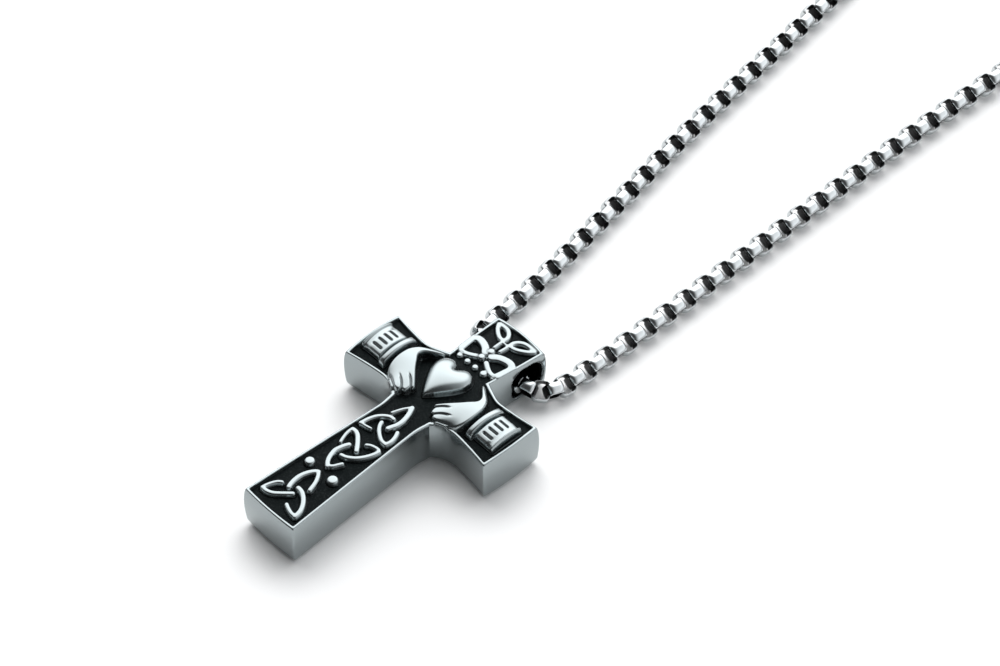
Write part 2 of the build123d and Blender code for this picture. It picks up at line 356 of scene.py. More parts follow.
def trimmed(line, start, end):
    """A line without its first and last stretches."""
    run = np.concatenate([[0], np.cumsum(np.hypot(*np.diff(line, axis=0).T))])
    stations = np.linspace(start, run[-1] - end, len(line))
    return np.column_stack([np.interp(stations, run, line[:, axis]) for axis in (0, 1)])


# Bands and beads
band_edge = 0.21
band_swell = 0.08
cut_share = 0.6
bead_power = 5
# Where on a bead's radius the painted shade on its walls begins and is full
bead_shade_from, bead_shade_full = 0.84, 0.97


def band(points, half, height, cut_start=False, cut_end=False):
    """A flat-topped band with round edges. A cut end stops just short of its last point."""
    line = trimmed(curve_through(points), cut_share * half * cut_start, cut_share * half * cut_end)
    where = window(line, half)
    gap, _, _ = distance_to(line, GX[where], GY[where])
    top = height - band_swell * (gap / half) ** 2
    raise_to(where, np.where(gap < half, top * round_edge(half - gap, band_edge), 0))


def bead(x, y, radius, height):
    """A bead with a flat top and painted shade on its walls."""
    where = window([(x, y)], radius)
    share = np.hypot(GX[where] - x, GY[where] - y) / radius
    raise_to(where, height * bulge(share, 1, bead_power))
    darken_to(where, smooth(bead_shade_from, bead_shade_full, share) * (share < 1))


# Strands of the three knots. Each row: points, half its width, and whether its start and its
# end stop short of the strand that crosses over there
knot_height = 0.6
strands = [
    ([(0.1, -5.1), (0.45, -5.8), (0.75, -6.6), (0.95, -7.6), (0.9, -8.5), (0.7, -9.1),
      (0.45, -9.9)], 0.48, 0, 1),
    ([(0, -5.2), (-0.5, -6.0), (-0.8, -6.7), (-1.05, -7.4), (-1.15, -7.7)], 0.35, 0, 1),
    ([(0.15, -8.1), (-0.6, -8.1), (-1.3, -8.5), (-2.0, -9.3), (-2.4, -10.3), (-2.55, -11.2),
      (-2.6, -11.5)], 0.41, 1, 0),
    ([(-2.6, -11.5), (-1.7, -11.4), (-0.8, -11.2)], 0.34, 0, 1),
    ([(-0.85, -9.3), (-0.65, -9.9), (-0.1, -10.6), (0.7, -11.2), (1.5, -11.6),
      (2.3, -11.65)], 0.42, 1, 0),
    ([(2.3, -11.65), (2.45, -10.9), (2.3, -10.1), (2.0, -9.4), (1.75, -9.05)], 0.42, 0, 1),
    ([(-1.9, -15.7), (-2.2, -15.0), (-2.5, -14.1), (-2.6, -13.3), (-2.5, -12.95)], 0.36, 1, 0),
    ([(-2.5, -12.95), (-1.9, -12.95), (-1.3, -13.2), (-0.6, -13.8), (0.1, -14.5),
      (0.75, -15.25)], 0.46, 0, 1),
    ([(0.55, -13.65), (1.1, -13.2), (1.8, -12.95), (2.4, -12.9), (2.65, -13.1)], 0.38, 1, 0),
    ([(2.65, -13.1), (2.5, -13.9), (2.1, -14.9), (1.6, -15.7), (1.0, -16.3), (0.3, -16.75),
      (-0.5, -16.95)], 0.42, 0, 1),
    ([(-0.75, -14.8), (-1.1, -15.5), (-1.35, -16.4), (-1.4, -17.1), (-1.05, -18.2), (-0.6, -18.9),
      (-0.1, -19.35)], 0.46, 1, 0),
    ([(-0.1, -19.35), (0.4, -18.9), (0.7, -18.3), (1.05, -17.6)], 0.38, 0, 1),
    ([(-0.8, -25.4), (-1.1, -24.7), (-1.3, -23.7), (-1.25, -22.7), (-0.9, -21.7), (-0.45, -21.05),
      (-0.15, -20.85)], 0.46, 1, 0),
    ([(-0.15, -20.85), (0.3, -21.3), (0.75, -22.0), (1.05, -22.7), (1.4, -23.85)], 0.42, 0, 1),
    ([(-0.2, -24.45), (0.4, -24.45), (1.0, -24.6), (1.8, -25.1), (2.5, -25.8), (3.0, -26.6),
      (3.2, -27.4), (3.2, -27.75)], 0.46, 1, 0),
    ([(3.2, -27.75), (2.5, -27.75), (1.6, -27.5), (0.85, -27.15)], 0.41, 0, 1),
    ([(-1.9, -25.15), (-2.5, -25.6), (-2.9, -26.3), (-3.15, -27.1), (-3.2, -27.6)], 0.38, 1, 0),
    ([(-3.2, -27.6), (-2.4, -27.6), (-1.6, -27.3), (-0.9, -26.7), (-0.2, -26.0),
      (0.45, -25.35)], 0.42, 0, 1),
]

# Bands of the crown on its right-hand side: bow, low arm, high leaf, low leaf and stalk. Each row:
# points, half its width, and height
crown_bands = [
    ([(0.6, 8.35), (1.2, 8.9), (2.0, 9.28), (2.85, 9.45), (3.5, 9.25), (3.72, 8.7), (3.62, 7.7),
      (3.5, 6.8)], 0.66, 0.6),
    ([(3.5, 6.8), (3.15, 6.38), (2.5, 6.35), (1.75, 6.62), (0.85, 7.15)], 0.48, 0.56),
    ([(0.58, 11.5), (0.62, 12.3), (1.15, 13.0), (2.05, 13.4), (3.35, 13.4)], 0.44, 0.5),
    ([(0.62, 11.5), (1.4, 11.6), (2.2, 12.05), (2.95, 12.7), (3.4, 13.3)], 0.43, 0.5),
    ([(0.52, 9.85), (0.56, 10.6), (0.58, 11.4)], 0.36, 0.5),
]
sprig_tie = ([(-0.58, 11.3), (0, 11.25), (0.58, 11.3)], 0.3, 0.5)

# Beads of the stem, the crown's row and the bow, by height. Each row: place and radius
beads = {
    0.62: [(-2.35, -20.4, 0.8), (2.05, -20.4, 0.86)],
    0.44: [(-2.65, 5.73, 0.52), (-1.15, 5.68, 0.52), (0.32, 5.68, 0.52), (1.85, 5.73, 0.58),
           (3.25, 5.98, 0.36)],
    0.72: [(-0.12, 8.95, 0.62), (-0.3, 7.4, 0.62)],
}


def sculpt_bands():
    """The three knots on the stem, the crown on the head, and the beads of both."""
    for points, half, cut_start, cut_end in strands:
        band(points, half, knot_height, cut_start, cut_end)
    for points, half, height in crown_bands:
        for side in (-1, 1):
            band([(side * x, y) for x, y in points], half, height)
    band(*sprig_tie)
    for height, rows in beads.items():
        for x, y, radius in rows:
            bead(x, y, radius, height)


# Heart
heart_side = [(0, 2.5), (0.4, 3.15), (1.15, 3.65), (2.1, 3.6), (2.9, 2.95), (3.22, 1.9), (2.95, 0.8),
              (2.3, -0.35), (1.4, -1.55), (0.6, -2.5), (0, -3.1)]
heart_shift = (-0.55, 0.5)
heart_width_share = 0.94
heart_top = 8.44
heart_base = 0.68
heart_base_fade = 0.16
heart_base_oxide_and_shade = 0.85
heart_lip, heart_lip_width = 0.42, 0.18
heart_fullness = 0.62
heart_rounds = 3000


def swelling(mask):
    """A smooth hump over a region, 0 at its edge and 1 at its highest: a loaded skin's shape."""
    hump = np.zeros(mask.shape)
    for _ in range(heart_rounds):
        around = sum(np.roll(hump, step, axis) for axis in (0, 1) for step in (1, -1))
        hump = np.where(mask, (around + 1) / 4, 0)
    return hump / hump.max()


def sculpt_heart():
    """The heart, swelling to its middle, on a thin lip."""
    side = curve_through(heart_side)
    line = np.vstack([side[:-1], side[::-1][:-1] * (-1, 1)]) * (heart_width_share, 1) + heart_shift
    where, x, y, gap, mask = region(line)
    rise = heart_top - (crown(x, y) - field_depth) - heart_base
    height = heart_base + rise * swelling(mask) ** heart_fullness
    raise_to(where, np.where(mask, height, heart_lip * bulge(gap, heart_lip_width)))
    # The heart's walls up to the dome's base are painted dark: blackening in the crevice round it, and
    # painted shade on the walls
    base = 1 - smooth(heart_base, heart_base + heart_base_fade, height)
    darken_to(where, np.where(mask, heart_base_oxide_and_shade * base, 0))


# Hands: outline of the right-hand one, lines between its fingers, the form of its back, and the
# lines' cut with the wider dip round it
hand_line = [(7.4, -0.3), (7.3, 0.75), (7.0, 1.55), (6.6, 2.2), (6.0, 2.75), (5.25, 3.3), (4.5, 3.85),
             (3.85, 4.2), (3.5, 4.15), (3.55, 3.75), (4.3, 3.0), (5.0, 2.35), (5.4, 1.8), (5.4, 1.2),
             (4.8, 0.45), (4.05, -0.45), (3.05, -1.45), (2.25, -2.25), (1.85, -2.75), (1.95, -3.15),
             (2.2, -3.3), (2.25, -3.75), (2.45, -4.15), (2.75, -4.25), (2.95, -4.25), (3.1, -4.6),
             (3.4, -4.8), (3.75, -4.75), (4.1, -4.95), (4.6, -4.75), (5.6, -4.15), (6.5, -3.6),
             (6.95, -3.05), (7.25, -2.3), (7.4, -1.3)]
finger_lines = [
    [(2.2, -3.3), (2.45, -3.0), (3.2, -2.35), (4.3, -1.75)],
    [(2.95, -4.3), (3.2, -3.95), (3.9, -3.35), (5.2, -2.6)],
    [(3.7, -4.8), (4.2, -4.5), (5.0, -4.05), (6.1, -3.5)],
]
hand_top = 8.4
hand_crest_out = 6.2
hand_bend_along = 0.024
thumb_bend = 0.045
finger_bend = 0.02
knuckle_bend = 0.05
knuckles_from, knuckles_full = 3.5, 6.5
hand_edge = 0.32
flank_oxide_and_shade_full, flank_oxide_and_shade_none = 0.3, 0.6
groove_depth, groove_width = 0.28, 0.08
dip_depth, dip_width = 0.04, 0.2
groove_dark_from, groove_dark_full = 0.12, 0.26
groove_full_share = 0.6


def sculpt_hand(side):
    """One hand: back and thumb as one smooth form, with lines between the fingers."""
    closed = curve_through(hand_line, steps=5, closed=True) * (side, 1)
    where, x, y, gap, mask = region(closed)
    out = np.abs(x)
    fingers = finger_bend + knuckle_bend * smooth(knuckles_from, knuckles_full, out)
    bend = np.where(y < 0, fingers, thumb_bend)
    top = hand_top - hand_bend_along * (out - hand_crest_out) ** 2 - bend * y**2
    height = (top - (crown(x, y) - field_depth)) * round_edge(gap, hand_edge)
    groove = np.zeros_like(height)
    for row in finger_lines:
        near, along, total = distance_to(curve_through(row) * (side, 1), x, y)
        fade = 1 - smooth(groove_full_share * total, total, along)
        cut = groove_depth * np.exp(-(near / groove_width) ** 2)
        dip = dip_depth * np.exp(-(near / dip_width) ** 2)
        groove = np.maximum(groove, fade * (cut + dip))
    raise_to(where, np.where(mask, np.maximum(height - groove, 0), 0))
    # The hand's foot and flanks are painted dark: blackening where it meets the field, and painted shade
    # higher up the flanks. The finger lines are blackened
    flank = 1 - smooth(flank_oxide_and_shade_full, flank_oxide_and_shade_none, height)
    cut_dark = smooth(groove_dark_from, groove_dark_full, groove)
    darken_to(where, np.where(mask, np.maximum(cut_dark, flank), 0))


# Bracelet and slotted cuff of an arm. Each shape: height and radius of its round top, how far it
# reaches to each side of the arm, and the width of its round edges
arm_work = (7.6, 12.7, 3.4)
ring_shape = (8.4, 6.0, 3.12, 0.6)
ring_middle, ring_half, ring_power = 8.36, 0.62, 4
sleeve_shape = (8.1, 5.6, 2.6, 0.4)
sleeve_start, sleeve_end, sleeve_end_edge = 9.05, 12.4, 0.2
sleeve_dip, sleeve_dip_from, sleeve_dip_full = 0.12, 11.0, 11.7
lip_shape = (8.32, 5.8, 2.72, 0.3)
lip_middle, lip_half = 12.3, 0.26
slot_places = (1.3, 0.35, -0.6, -1.55)
slot_middle, slot_half, slot_width, slot_depth = 10.55, 0.7, 0.105, 0.4
slot_dark_from, slot_dark_full = 0.3, 0.65
slot_least_height = 0.3


def round_body(y, base, shape):
    """Height above base of a body that is round across the arm."""
    top, radius, reach, edge = shape
    height = top - (radius - np.sqrt(radius**2 - np.clip(y, -reach, reach) ** 2))
    return (height - base) * round_edge(reach - np.abs(y), edge)


def sculpt_arm(side):
    """The bracelet and the slotted cuff on one arm."""
    start, end, half = arm_work
    where = window([(start * side, -half), (end * side, half)])
    x, y = GX[where] * side, GY[where]
    field = crown(x, y) - field_depth
    ring_along = bulge(x - ring_middle, ring_half, ring_power)
    raise_to(where, round_body(y, field, ring_shape) * ring_along)
    dip = sleeve_dip * smooth(sleeve_dip_from, sleeve_dip_full, x)
    sleeve_along = round_edge(np.minimum(x - sleeve_start, sleeve_end - x), sleeve_end_edge)
    sleeve = round_body(y, field + dip, sleeve_shape) * sleeve_along
    lip = round_body(y, field, lip_shape) * bulge(x - lip_middle, lip_half)
    cuff = np.maximum(sleeve, lip)
    slot = np.zeros_like(cuff)
    for slot_y in slot_places:
        beyond = np.maximum(np.abs(x - slot_middle) - slot_half, 0)
        slot = np.maximum(slot, np.exp(-(((y - slot_y) ** 2 + beyond**2) / slot_width**2)))
    raise_to(where, np.maximum(cuff - slot_depth * slot, 0))
    darken_to(where, smooth(slot_dark_from, slot_dark_full, slot) * (cuff > slot_least_height))


def soften(values):
    """Blurs the grid a little, as casting and tumbling soften every edge."""
    for axis in (0, 1):
        values = 0.5 * values + 0.25 * (np.roll(values, 1, axis) + np.roll(values, -1, axis))
    return values


sculpt_bands()
sculpt_heart()
for arm_side in (-1, 1):
    sculpt_hand(arm_side)
    sculpt_arm(arm_side)
relief = soften(relief)
shade = soften(shade)

# Heights above the field up to which the front is black, and from which it is bright
field_dark_full, field_dark_none = 0.12, 0.3


def sample(values, x, y):
    """Values of a grid at any points."""
    fx = np.clip((x - grid_x[0]) / grid_step, 0, len(grid_x) - 1.001)
    fy = np.clip((y - grid_y[0]) / grid_step, 0, len(grid_y) - 1.001)
    i, j = fx.astype(int), fy.astype(int)
    u, v = fx - i, fy - j
    low = values[i, j] * (1 - u) + values[i + 1, j] * u
    high = values[i, j + 1] * (1 - u) + values[i + 1, j + 1] * u
    return low * (1 - v) + high * v


def front(x, y, inset):
    """Height and darkness of the front at points that lie inset within its edge."""
    rim = field_depth * (1 - smooth(rim_inset - rim_slope_out, rim_inset + rim_slope_in, inset))
    above = np.maximum(rim, sample(relief, x, y))
    dark = 1 - smooth(field_dark_full, field_dark_none, above)
    return crown(x, y) - field_depth + above, np.maximum(dark, sample(shade, x, y))


def triangles_between(points, edges, keep):
    """Fills a flat region with triangles that keep its edges; keep says which middles count."""
    flat = [Vector((float(x), float(y))) for x, y in points]
    verts, _, faces, source, _, _ = delaunay_2d_cdt(flat, edges, [], 0, 1e-6)
    first = [rows[0] if rows else -1 for rows in source]
    out = []
    for face in faces:
        corners = np.array([verts[k] for k in face])
        area = np.cross(corners[1] - corners[0], corners[2] - corners[0])
        if abs(area) < 1e-9:
            continue
        if keep(*corners.mean(axis=0)):
            ids = [first[k] for k in face]
            out.append(ids if area > 0 else ids[::-1])
    return out


def ring_edges(start, count):
    """Edges of a closed ring of vertices."""
    return [(start + k, start + (k + 1) % count) for k in range(count)]


def wall_out(height):
    """How far outside the front edge the wall is at a height above the back's rounding."""
    up = (height - belly_height) / wall_round_up
    down = (height - belly_height) / wall_round_down
    return belly * (1 - np.where(height > belly_height, up, down) ** 2)


BACK_OUT = float(wall_out(back_round_height))


def cross_rows():
    """The rows of points round the cross, from the field over the edge and down to the back."""
    rows = []
    for inset in row_insets:
        plan = outline(-inset)
        rows.append((plan, *front(plan[:, 0], plan[:, 1], inset)))
    top = rows[-1][1]
    bright = 0 * top
    for turn in edge_turns:
        angle = math.radians(turn)
        plan = outline(-edge_inset + edge_out * math.sin(angle))
        rows.append((plan, top - edge_drop * (1 - math.cos(angle)), bright))
    shoulder = top - edge_drop
    edge, grown = outline(0.0), outline(1.0)
    for share in np.linspace(0, 1, wall_row_count):
        height = shoulder + share * (back_round_height - shoulder)
        out = np.minimum(wall_out(height), belly)[:, None]
        rows.append((edge + (grown - edge) * out, height, bright))
    for turn in back_turns:
        angle = math.radians(turn)
        out = BACK_OUT - (BACK_OUT + back_flat_inset) * (1 - math.cos(angle))
        rows.append((outline(out), bright + back_round_height * (1 - math.sin(angle)), bright))
    rows.append((outline(-back_flat_inset - back_last_step), bright, bright))
    return rows


def bore_ring(grow):
    """The closed line of the hole, grow outside it, as (y, height) points against the clock."""
    half_w, half_h, radius = bore_width / 2 + grow, bore_height / 2 + grow, bore_corner + grow
    middle = bore_floor + bore_height / 2
    points = []
    for quarter, (sx, sy) in enumerate([(1, 1), (-1, 1), (-1, -1), (1, -1)]):
        for k in range(bore_corner_points):
            angle = math.radians(90 * quarter + 90 * k / (bore_corner_points - 1))
            points.append((bore_up + sx * (half_w - radius) + radius * math.cos(angle),
                           middle + sy * (half_h - radius) + radius * math.sin(angle)))
    return np.array(points)


def head_wall(y, height):
    """How far from the middle the head's side wall is, at a place up the cross and a height."""
    out = float(wall_out(height))
    if height <= back_round_height:
        sine = 1 - height / back_round_height
        out = BACK_OUT - (BACK_OUT + back_flat_inset) * (1 - math.sqrt(1 - sine**2))
    share = (y - thumb_up) / (head_reach - thumb_up)
    swell = head_swell * (1 - (2 * share - 1) ** 2)
    return head_neck_half + (head_half - head_neck_half) * share + swell + out


class Shell:
    """Points, their darkness, faces and sharp edges of one mesh, gathered part by part."""

    def __init__(self):
        self.points = []
        self.darks = []
        self.faces = []
        self.sharp = []

    def add(self, points, dark):
        """Takes points in, and gives the index of the first of them."""
        first = sum(len(earlier) for earlier in self.points)
        self.points.append(points)
        self.darks.append(np.full(len(points), dark))
        return first

    def fill(self, flat, edges, keep, indices, flip=False):
        """Fills a flat region; indices says which of the shell's points its points are."""
        for face in triangles_between(flat, edges, keep):
            corners = [indices[k] for k in face]
            self.faces.append(corners[::-1] if flip else corners)

    def join(self, near, far, count, flip=False):
        """Joins two closed rings of points, given by their first indices."""
        for k in range(count):
            n = (k + 1) % count
            quad = [near + k, near + n, far + n, far + k]
            self.faces.append(quad[::-1] if flip else quad)


def new_object(name, data):
    """A new object in the scene."""
    made = bpy.data.objects.new(name, data)
    bpy.context.scene.collection.objects.link(made)
    return made


def make_mesh(name, points, faces, material, dark, sharp=()):
    """A smooth-shaded mesh from points in millimetres."""
    mesh = bpy.data.meshes.new(name)
    mesh.from_pydata((points * MM).tolist(), [], faces)
    mesh.polygons.foreach_set("use_smooth", [True] * len(mesh.polygons))
    # Darkness of each point: blackening of the cast's field and hollows, and painted shade on the chain's
    # links and on walls of beads, heart and hands
    layer = mesh.attributes.new("blackening_and_shade", "FLOAT", "POINT")
    layer.data.foreach_set("value", np.asarray(dark, np.float32))
    wanted = {tuple(sorted(pair)) for pair in sharp}
    if wanted:
        for edge in mesh.edges:
            if tuple(sorted(edge.vertices)) in wanted:
                edge.use_edge_sharp = True
    mesh.materials.append(material)
    return new_object(name, mesh)


# Room that the grid leaves inside the first row, as a share of its step, and how far in that is
# tested. Deep inside is beyond any slope of the rim
least_gap_share = 0.45
gap_test_depth = 0.2
deep_inside = 9.0

# Room round the hole that the wall's rows leave for its mouth, and rows of the back that aren't
# creased
mouth_room_over, mouth_room_under, mouth_room_beside = 0.1, 0.05, 0.12
uncreased_rows = 3


def field_cells(inner):
    """Which cells of the grid lie clear inside the first row."""
    mask = inside(inner, grid_x, grid_y)
    near = mask & ~inside(outline(-field_inset - gap_test_depth), grid_x, grid_y)
    gap = np.full(GX.shape, deep_inside)
    gap[near], _, _ = distance_to(inner, GX[near], GY[near], closed=True)
    usable = mask & (gap > least_gap_share * grid_step)
    return usable[:-1, :-1] & usable[1:, :-1] & usable[1:, 1:] & usable[:-1, 1:]


def stepped_edges(cells, ids):
    """Edges of the grid between a chosen cell and one that isn't."""
    solid = np.pad(cells, 1)
    across = np.nonzero(solid[1:, 1:-1] != solid[:-1, 1:-1])
    along = np.nonzero(solid[1:-1, 1:] != solid[1:-1, :-1])
    return ([(ids[i, j], ids[i, j + 1]) for i, j in zip(*across)]
            + [(ids[i, j], ids[i + 1, j]) for i, j in zip(*along)])


def add_field(shell, inner):
    """The field as a square grid, with triangles that join its stepped edge to the first row."""
    cells = field_cells(inner)
    used = np.zeros(GX.shape, bool)
    for corner in (used[:-1, :-1], used[1:, :-1], used[1:, 1:], used[:-1, 1:]):
        corner |= cells
    height, dark = front(GX[used], GY[used], deep_inside)
    grid_points = np.column_stack([GX[used], GY[used], height])
    first = shell.add(grid_points, dark)
    ids = np.full(GX.shape, -1)
    ids[used] = first + np.arange(len(grid_points))
    i, j = np.nonzero(cells)
    corners = [ids[i, j], ids[i + 1, j], ids[i + 1, j + 1], ids[i, j + 1]]
    shell.faces += np.column_stack(corners).tolist()

    stepped = stepped_edges(cells, ids)
    edge_ids = sorted({k for pair in stepped for k in pair})
    place = {k: LOOP + n for n, k in enumerate(edge_ids)}
    flat = np.vstack([inner, grid_points[np.array(edge_ids) - first, :2]])
    edges = ring_edges(0, LOOP) + [(place[a], place[b]) for a, b in stepped]
    within = in_loop(inner)

    def open_cell(x, y):
        i = int((x - grid_x[0]) / grid_step)
        j = int((y - grid_y[0]) / grid_step)
        return not cells[i, j] and within(x, y)

    shell.fill(flat, edges, open_cell, list(range(LOOP)) + edge_ids)


def mouth_gap(rows, ring):
    """The rows that the hole's mouths take up, and the columns that each of them does."""
    low, high = ring.min(axis=0), ring.max(axis=0)
    edge_row = len(row_insets) + len(edge_turns)
    heights = [height[HEAD_WALLS[0][1]] for _, height, _ in rows]
    numbers = range(edge_row, len(rows))
    top = next(r for r in numbers if heights[r] < high[1] + mouth_room_over) - 1
    end = next(r for r in numbers if heights[r] < low[1] - mouth_room_under)
    columns = []
    for a, b in HEAD_WALLS:
        y = rows[edge_row][0][a:b + 1, 1]
        beside = (y > low[0] - mouth_room_beside) & (y < high[0] + mouth_room_beside)
        hit = a + np.nonzero(beside)[0]
        columns.append((int(hit.min()), int(hit.max())))
    return top, end, columns


def add_walls(shell, row_count, top, end, columns):
    """Faces between all rows, with room for the hole, and the creases beside the arms."""
    for r in range(row_count - 1):
        for c in range(LOOP):
            if top <= r < end and any(a <= c < b for a, b in columns):
                continue
            n = (c + 1) % LOOP
            shell.faces.append([r * LOOP + c, (r + 1) * LOOP + c, (r + 1) * LOOP + n, r * LOOP + n])
    for corner in INWARD:
        for r in range(len(row_insets), row_count - uncreased_rows):
            shell.sharp.append((r * LOOP + corner, (r + 1) * LOOP + corner))


def add_mouth(shell, rows, ring, side, top, end, columns):
    """A rounded mouth of the hole, joined to its wall. Gives the index of its innermost ring."""
    a, b = columns
    border = [(top, c) for c in range(a, b + 1)] + [(r, b) for r in range(top + 1, end + 1)]
    border += [(end, c) for c in range(b - 1, a - 1, -1)] + [(r, a) for r in range(end - 1, top, -1)]
    border_line = np.array([(rows[r][0][c, 1], rows[r][1][c]) for r, c in border])
    reach = np.array([head_wall(y, height) for y, height in ring])
    starts = []
    for turn in mouth_turns:
        angle = math.radians(turn)
        out = side * (reach - bore_flare * (1 - math.cos(angle)))
        line = bore_ring(bore_flare * (1 - math.sin(angle)))
        starts.append(shell.add(np.column_stack([out, line]), 0.0))
    count = len(ring)
    in_border, in_hole = in_loop(border_line), in_loop(ring)

    def on_wall(y, height):
        return in_border(y, height) and not in_hole(y, height)

    edges = ring_edges(0, count) + ring_edges(count, len(border))
    indices = list(range(starts[0], starts[0] + count)) + [r * LOOP + c for r, c in border]
    shell.fill(np.vstack([ring, border_line]), edges, on_wall, indices, side < 0)
    for near, far in zip(starts[:-1], starts[1:]):
        shell.join(near, far, count, side < 0)
    return starts[-1]


def add_tube(shell, ring, right_end, left_end):
    """The dark inside of the hole, between the innermost rings of its mouths."""
    line = bore_ring(0.0)
    reach = np.array([head_wall(y, height) for y, height in ring]) - bore_flare
    middles = [shell.add(np.column_stack([share * reach, line]), 1.0) for share in tube_shares]
    tube = [right_end, *middles, left_end]
    for near, far in zip(tube[:-1], tube[1:]):
        shell.join(near, far, len(line))


def cross_mesh(material):
    """The whole casting as one closed mesh."""
    shell = Shell()
    rows = cross_rows()
    for plan, height, dark in rows:
        shell.add(np.column_stack([plan, height]), dark)
    add_field(shell, rows[0][0])
    ring = bore_ring(bore_flare)
    top, end, columns = mouth_gap(rows, ring)
    add_walls(shell, len(rows), top, end, columns)
    right_end = add_mouth(shell, rows, ring, 1, top, end, columns[0])
    left_end = add_mouth(shell, rows, ring, -1, top, end, columns[1])
    add_tube(shell, ring, right_end, left_end)
    back_line = rows[-1][0]
    last = (len(rows) - 1) * LOOP
    shell.fill(back_line, ring_edges(0, LOOP), in_loop(back_line), range(last, last + LOOP), True)
    points, darks = np.vstack(shell.points), np.concatenate(shell.darks)
    return make_mesh("cross_casting", points, shell.faces, material, darks, shell.sharp)


# Steel: colour and roughness of each finish, of the cast's black, which also carries painted shade,
# and of the chain's painted shade, and the scale and detail of its clouds of wear, its fine bumps
# and the grain in its black
cast_finish = ((0.31, 0.345, 0.352), 0.19)
cast_oxide_and_shade = ((0.003, 0.0042, 0.0044), 0.42)
bright_finish = ((0.57, 0.6, 0.61), 0.14)
chain_painted_shade = ((0.01, 0.01, 0.011), 0.4)
wear_scale, wear_detail = 900.0, 3.0
wear_range = (0.9, 1.15)
bump_scale, bump_detail = 9000.0, 2.0
bump_strength, bump_depth = 0.03, 0.00002
grain_scale, grain_detail = 5500.0, 2.0
grain_from, grain_full = 0.5, 0.75
grain_cover = 0.97


def node(tree, kind, **settings):
    """A shader node with its settings and input values."""
    made = tree.nodes.new(kind)
    for key, value in settings.items():
        if key.startswith("in_"):
            made.inputs[key[3:].replace("_", " ")].default_value = value
        else:
            setattr(made, key, value)
    return made


def wire(source, output, target, socket):
    """Links a node's output to another node's input."""
    source.id_data.links.new(source.outputs[output], target.inputs[socket])


def noise(tree, place, scale, detail):
    """A noise texture in the object's own space."""
    texture = node(tree, "ShaderNodeTexNoise", in_Scale=scale, in_Detail=detail)
    wire(place, "Object", texture, "Vector")
    return texture


def steel(name, colour, roughness):
    """Polished steel with fine wear. Gives the material, its shader and its wear and place nodes."""
    material = bpy.data.materials.new(name)
    material.use_nodes = True
    tree = material.node_tree
    shader = tree.nodes["Principled BSDF"]
    shader.inputs["Metallic"].default_value = 1.0
    shader.inputs["Base Color"].default_value = (*colour, 1)
    place = node(tree, "ShaderNodeTexCoord")
    cloud = noise(tree, place, wear_scale, wear_detail)
    fine = noise(tree, place, bump_scale, bump_detail)
    low, high = (roughness * share for share in wear_range)
    wear = node(tree, "ShaderNodeMapRange", in_To_Min=low, in_To_Max=high)
    wire(cloud, "Fac", wear, "Value")
    wire(wear, "Result", shader, "Roughness")
    bump = node(tree, "ShaderNodeBump", in_Strength=bump_strength, in_Distance=bump_depth)
    wire(fine, "Fac", bump, "Height")
    wire(bump, "Normal", shader, "Normal")
    return material, shader, wear, place


def blackened_and_shaded_steel(name, colour, roughness, black, black_roughness):
    """Polished steel, black where its darkness attribute says so: blackening and painted shade."""
    material, shader, wear, place = steel(name, colour, roughness)
    tree = material.node_tree
    blackening_and_shade = node(tree, "ShaderNodeAttribute", attribute_name="blackening_and_shade")
    grain = noise(tree, place, grain_scale, grain_detail)
    cover = node(tree, "ShaderNodeMapRange", in_From_Min=grain_from, in_From_Max=grain_full,
                 in_To_Min=1.0, in_To_Max=grain_cover)
    wire(grain, "Fac", cover, "Value")
    worn = node(tree, "ShaderNodeMath", operation="MULTIPLY")
    wire(blackening_and_shade, "Fac", worn, 0)
    wire(cover, "Result", worn, 1)
    tint = node(tree, "ShaderNodeMix", data_type="RGBA")
    wire(worn, "Value", tint, "Factor")
    ends = {"A": (*colour, 1), "B": (*black, 1)}
    for socket in tint.inputs:
        if socket.type == "RGBA" and socket.name in ends:
            socket.default_value = ends[socket.name]
    mixed = next(s for s in tint.outputs if s.type == "RGBA")
    tree.links.new(mixed, shader.inputs["Base Color"])
    rough = node(tree, "ShaderNodeMapRange", in_To_Max=black_roughness)
    wire(blackening_and_shade, "Fac", rough, "Value")
    wire(wear, "Result", rough, "To Min")
    wire(rough, "Result", shader, "Roughness")
    return material


cast_steel = blackened_and_shaded_steel("cast_steel", *cast_finish, *cast_oxide_and_shade)
chain_steel = blackened_and_shaded_steel("chain_steel", *bright_finish, *chain_painted_shade)
clasp_steel = steel("clasp_steel", *bright_finish)[0]

cross_piece = cross_mesh(cast_steel)
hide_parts("cross")
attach(cross_piece, "root")

# Chain: a round box chain whose square links follow the part's route
chain_diameter = 3.0
chain_rest_gap = 0.2
bore_rest = bore_floor + chain_rest_gap + chain_diameter / 2


def on_floor(*places):
    """Points of a route where the chain lies on the floor."""
    return [(x, y, chain_diameter / 2) for x, y in places]


clasp_x = -2.0
clasp_y = 276.0
clasp_end = 7.2
clasp_lead = 13.0
left_route = [(-4.7, 11.3, bore_rest), (-6.6, 12.6, 1.95)] + on_floor(
    (-7.5, 14.9), (-7.85, 19.0), (-8.75, 27.0), (-11.6, 42.0), (-15.5, 62.0), (-18.7, 85.0),
    (-23.5, 113.0), (-32.0, 143.0), (-41.0, 173.0), (-47.0, 203.0), (-48.0, 232.0), (-41.0, 257.0),
    (clasp_x - clasp_end - clasp_lead, clasp_y), (clasp_x - clasp_end, clasp_y),
)
right_route = [(0.0, 10.85, bore_rest), (4.5, 10.7, bore_rest), (6.4, 12.1, 1.95)] + on_floor(
    (7.15, 14.6), (7.25, 18.0), (7.3, 25.0), (7.15, 38.5), (6.75, 60.0), (6.4, 85.0), (7.2, 112.0),
    (13.5, 142.0), (24.0, 172.5), (33.0, 203.0), (38.0, 233.0), (35.0, 258.0),
    (clasp_x + clasp_end + clasp_lead, clasp_y), (clasp_x + clasp_end, clasp_y),
)

# Smooth line of the route: how finely it is drawn, and its order
route_steps, route_order = 24, 3

